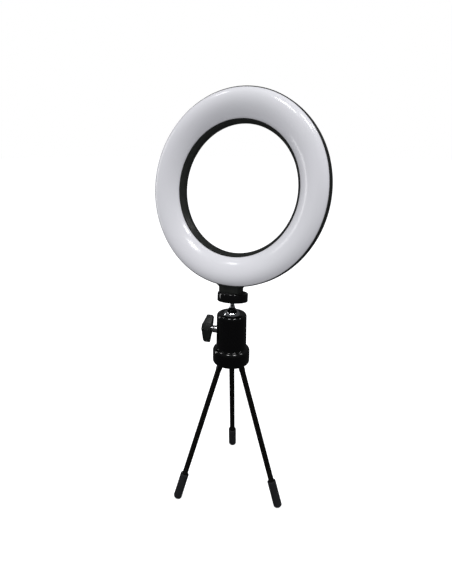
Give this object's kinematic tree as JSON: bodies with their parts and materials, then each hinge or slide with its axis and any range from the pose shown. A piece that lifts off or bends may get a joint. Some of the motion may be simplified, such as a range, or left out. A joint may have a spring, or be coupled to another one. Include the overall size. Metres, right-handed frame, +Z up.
{
  "type": "ring light",
  "caption": "Round desktop ring light with a domed diffuser, on a mini ball head with a wing knob and a folding three-leg table stand.",
  "frame": {"origin": "on the table, under the middle of the whole light's outline", "axes": "+Z up, the light faces -Y and leans back, the wing knob is on the -X side"},
  "size_m": [0.16, 0.0958, 0.3523],
  "materials": {
    "diffuser_plastic": "milky, smooth and glossy",
    "housing_black": "moulded, fine satin",
    "board_white": "white solder mask",
    "led_warm": "amber phosphor, unlit",
    "led_cool": "pale phosphor, unlit",
    "resistor_black": "chip resistor body",
    "connector_nylon": "natural nylon",
    "screw_black": "blackened steel",
    "insert_brass": "turned",
    "gland_rubber": "soft, dull",
    "stud_steel": "zinc plated",
    "pad_rubber": "dull",
    "plate_black": "black anodised, satin gloss",
    "ball_chrome": "polished",
    "head_black": "gloss black",
    "seat_nylon": "natural nylon",
    "plug_alloy": "turned",
    "screw_chrome": "polished",
    "knob_grey": "moulded, dark grey",
    "hub_black": "moulded, glossy",
    "leg_black": "black lacquered steel tube",
    "foot_rubber": "dark grey, dull"
  },
  "bodies": {
    "base": {"leg_hub": "hub_black", "hub_cover": "hub_black", "hub_stud": "stud_steel", "leg_pins": "stud_steel", "base_plug": "plug_alloy", "ball_housing": "head_black"},
    "seat": {"ball_seat": "seat_nylon"},
    "ball": {"ball_stem": "ball_chrome", "top_plate": "plate_black", "plate_pad": "pad_rubber", "plate_stud": "stud_steel"},
    "ring": {"front_diffuser": "diffuser_plastic", "rear_housing": "housing_black", "led_board": "board_white", "leds_warm": "led_warm", "leds_cool": "led_cool", "board_resistors": "resistor_black", "board_connector": "connector_nylon", "housing_screws": "screw_black", "threaded_insert": "insert_brass", "cable_gland": "gland_rubber"},
    "pad": {"lock_pad": "seat_nylon"},
    "knob": {"lock_screw": "screw_chrome", "wing_knob": "knob_grey"},
    "rear_leg": {"rear_leg": "leg_black", "rear_foot_cap": "foot_rubber"},
    "front_leg": {"front_leg": "leg_black", "front_foot_cap": "foot_rubber"},
    "right_leg": {"right_leg": "leg_black", "right_foot_cap": "foot_rubber"}
  },
  "joints": [
    {"name": "head_pan", "type": "hinge", "parent": "base", "child": "seat", "pos_m": [0.00646, -0.00165, 0.1654], "axis": [0, 0, 1], "continuous": true},
    {"name": "head_tilt", "type": "hinge", "parent": "seat", "child": "ball", "pos_m": [0.00646, -0.00165, 0.1654], "axis": [0.9397, 0.342, 0], "range_deg": [-25, 45]},
    {"name": "ring_turn", "type": "hinge", "parent": "ball", "child": "ring", "pos_m": [0.00646, -0.00165, 0.1654], "axis": [-0.0594, 0.1632, 0.9848], "continuous": true},
    {"name": "screw_travel", "type": "slide", "parent": "base", "child": "pad", "axis": [-0.9532, -0.3024, 0], "range_m": [0, 0.001]},
    {"name": "knob_turn", "type": "hinge", "parent": "pad", "child": "knob", "pos_m": [-0.00879, -0.00649, 0.1535], "axis": [-0.9532, -0.3024, 0], "range_deg": [0, 360]},
    {"name": "rear_leg_fold", "type": "hinge", "parent": "base", "child": "rear_leg", "pos_m": [0.00261, 0.00615, 0.1286], "axis": [-0.8965, -0.4431, 0], "range_deg": [0, 18.6]},
    {"name": "front_leg_fold", "type": "hinge", "parent": "base", "child": "front_leg", "pos_m": [0.00163, -0.00889, 0.1286], "axis": [0.832, -0.5548, 0], "range_deg": [0, 18.6]},
    {"name": "right_leg_fold", "type": "hinge", "parent": "base", "child": "right_leg", "pos_m": [0.01514, -0.00221, 0.1286], "axis": [0.0645, 0.9979, 0], "range_deg": [0, 18.6]}
  ],
  "couplings": [
    {"joint": "knob_turn", "follows": "screw_travel", "rad_per_m": 6280}
  ]
}
